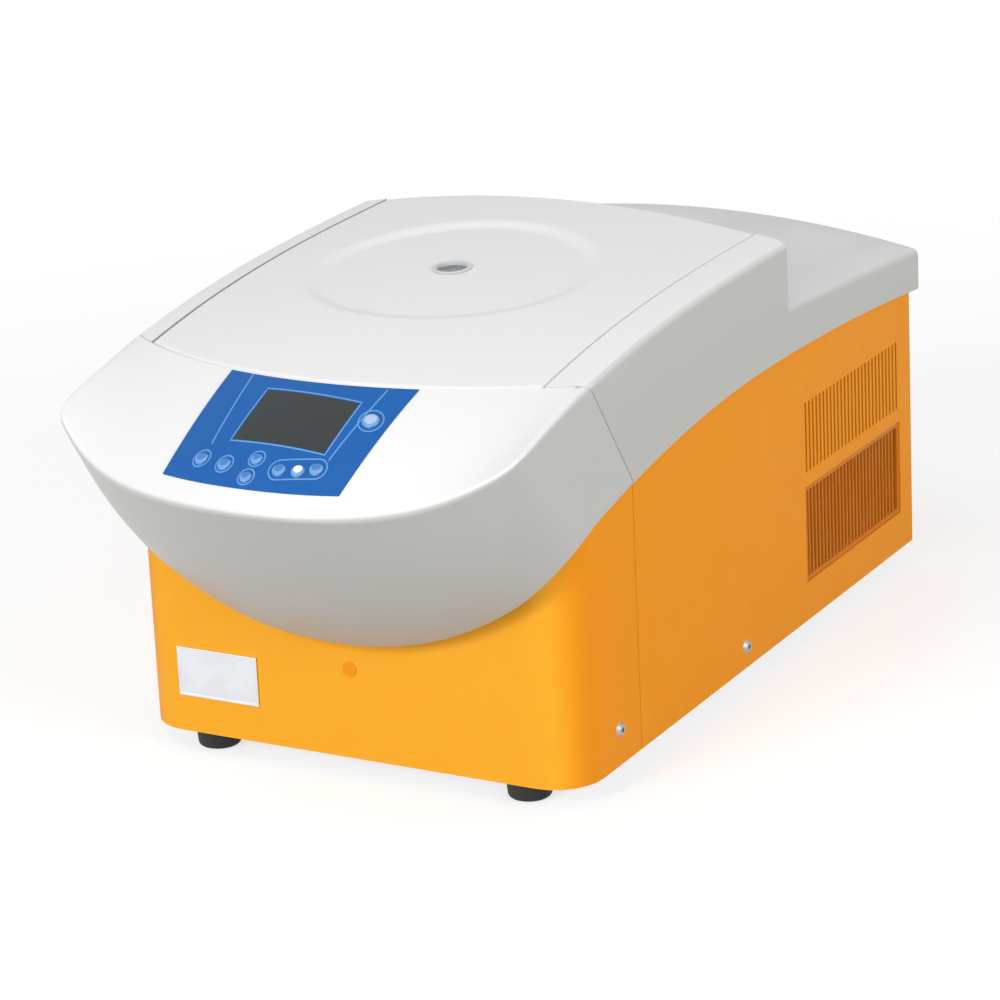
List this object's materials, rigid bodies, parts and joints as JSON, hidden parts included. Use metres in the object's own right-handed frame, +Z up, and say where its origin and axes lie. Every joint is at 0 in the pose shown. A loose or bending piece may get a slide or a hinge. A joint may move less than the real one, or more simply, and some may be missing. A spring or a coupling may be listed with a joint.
{
  "type": "refrigerated microcentrifuge",
  "caption": "Refrigerated bench microcentrifuge with a hinged lid over an angle rotor, a curved nose with a keypad console, a low rear deck and vented side panels.",
  "frame": {"origin": "on the table, under the middle of the footprint", "axes": "+Z up, -Y towards the operator at the nose, +X to the operator's right"},
  "size_m": [0.294, 0.586, 0.2713],
  "materials": {
    "white_shell": "fine satin",
    "grey_shell": "fine satin",
    "orange_shell": "satin powder coat",
    "orange_side": "satin powder coat",
    "grille_orange": "satin",
    "silver_plate": "brushed",
    "steel": "zinc plated",
    "screw_steel": "satin",
    "foot_rubber": "matte",
    "seal_rubber": "matte",
    "blue_film": "satin film",
    "screen_film": "gloss",
    "key_blue": "satin",
    "key_white": "satin",
    "dark_plastic": "matte",
    "board_green": "lacquered",
    "bowl_steel": "brushed",
    "foam": "closed cell",
    "copper_tube": "drawn",
    "motor_alloy": "cast",
    "black_paint": "gloss",
    "fin_aluminium": "mill",
    "port_ring": "satin",
    "clear_port": "clear",
    "rotor_alloy": "anodised",
    "rotor_lid_alloy": "anodised dark"
  },
  "bodies": {
    "housing": {"base_tray": "steel", "feet": "foot_rubber", "front_skirt": "orange_shell", "side_panel_left": "orange_side", "side_panel_right": "orange_side", "rear_panel": "orange_side", "side_screws": "screw_steel", "name_plate": "silver_plate", "release_plug": "orange_side", "vent_grille_left": "grille_orange", "vent_grille_right": "grille_orange", "console_fascia": "white_shell", "top_cover": "grey_shell", "keypad_overlay": "blue_film", "display_window": "screen_film", "display_module": "dark_plastic", "control_board": "board_green", "chamber_bowl": "bowl_steel", "bowl_insulation": "foam", "evaporator_coil": "copper_tube", "guard_ring": "steel", "motor_plate": "steel", "motor_housing": "motor_alloy", "vibration_mounts": "foot_rubber", "shaft_boot": "seal_rubber", "compressor": "black_paint", "condenser": "fin_aluminium", "fan_shroud": "dark_plastic", "fan_motor": "dark_plastic", "filter_drier": "copper_tube", "power_board": "board_green", "power_inlet": "dark_plastic", "switch_bezel": "dark_plastic", "lock_housing": "dark_plastic", "hinge_brackets": "screw_steel", "hinge_pins": "screw_steel"},
    "lid": {"lid_shell": "white_shell", "lid_liner": "white_shell", "lid_gasket": "seal_rubber", "sight_port": "port_ring", "sight_glass": "clear_port", "lid_striker": "screw_steel", "lid_lugs": "screw_steel"},
    "bolt": {"lock_bolt": "screw_steel"},
    "rotor_set": {"rotor": "rotor_alloy", "rotor_shaft": "screw_steel", "rotor_lid": "rotor_lid_alloy"},
    "knob": {"rotor_knob": "dark_plastic"},
    "fan": {"fan_blades": "dark_plastic"},
    "rocker": {"main_switch": "dark_plastic"},
    "key_open_cap": {"key_open": "key_white"},
    "key_menu_cap": {"key_menu": "key_blue"},
    "key_set_cap": {"key_set": "key_blue"},
    "key_up_cap": {"key_up": "key_blue"},
    "key_down_cap": {"key_down": "key_blue"},
    "key_start_cap": {"key_start": "key_blue"},
    "key_short_cap": {"key_short": "key_white"},
    "key_stop_cap": {"key_stop": "key_blue"}
  },
  "joints": [
    {"name": "lid_hinge", "type": "hinge", "parent": "housing", "child": "lid", "pos_m": [0, 0.09093, 0.243], "axis": [-1, 0, 0], "range_deg": [0, 78]},
    {"name": "lock_slide", "type": "slide", "parent": "housing", "child": "bolt", "axis": [0, 1, 0], "range_m": [0, 0.008]},
    {"name": "rotor_spin", "type": "hinge", "parent": "housing", "child": "rotor_set", "pos_m": [0, -0.04207, 0.168], "axis": [0, 0, 1], "continuous": true},
    {"name": "knob_turn", "type": "hinge", "parent": "rotor_set", "child": "knob", "pos_m": [0, -0.04207, 0.208], "axis": [0, 0, 1], "range_deg": [0, 90]},
    {"name": "fan_spin", "type": "hinge", "parent": "housing", "child": "fan", "pos_m": [0.092, 0.19103, 0.0765], "axis": [1, 0, 0], "continuous": true},
    {"name": "rocker_tilt", "type": "hinge", "parent": "housing", "child": "rocker", "pos_m": [-0.062, 0.275, 0.048], "axis": [1, 0, 0], "range_deg": [-8, 8]},
    {"name": "key_open_press", "type": "slide", "parent": "housing", "child": "key_open_cap", "axis": [-0.1145, 0.4471, -0.8871], "range_m": [0, 0.0004], "stiffness_N_per_m": 900},
    {"name": "key_menu_press", "type": "slide", "parent": "housing", "child": "key_menu_cap", "axis": [0.0773, 0.5263, -0.8468], "range_m": [0, 0.0004], "stiffness_N_per_m": 900},
    {"name": "key_set_press", "type": "slide", "parent": "housing", "child": "key_set_cap", "axis": [0.0397, 0.5303, -0.8469], "range_m": [0, 0.0004], "stiffness_N_per_m": 900},
    {"name": "key_up_press", "type": "slide", "parent": "housing", "child": "key_up_cap", "axis": [-0.0044, 0.5199, -0.8542], "range_m": [0, 0.0004], "stiffness_N_per_m": 900},
    {"name": "key_down_press", "type": "slide", "parent": "housing", "child": "key_down_cap", "axis": [-0.0028, 0.5417, -0.8406], "range_m": [0, 0.0004], "stiffness_N_per_m": 900},
    {"name": "key_start_press", "type": "slide", "parent": "housing", "child": "key_start_cap", "axis": [-0.0445, 0.5288, -0.8476], "range_m": [0, 0.0004], "stiffness_N_per_m": 900},
    {"name": "key_short_press", "type": "slide", "parent": "housing", "child": "key_short_cap", "axis": [-0.0702, 0.5266, -0.8472], "range_m": [0, 0.0004], "stiffness_N_per_m": 900},
    {"name": "key_stop_press", "type": "slide", "parent": "housing", "child": "key_stop_cap", "axis": [-0.0911, 0.5209, -0.8487], "range_m": [0, 0.0004], "stiffness_N_per_m": 900}
  ]
}
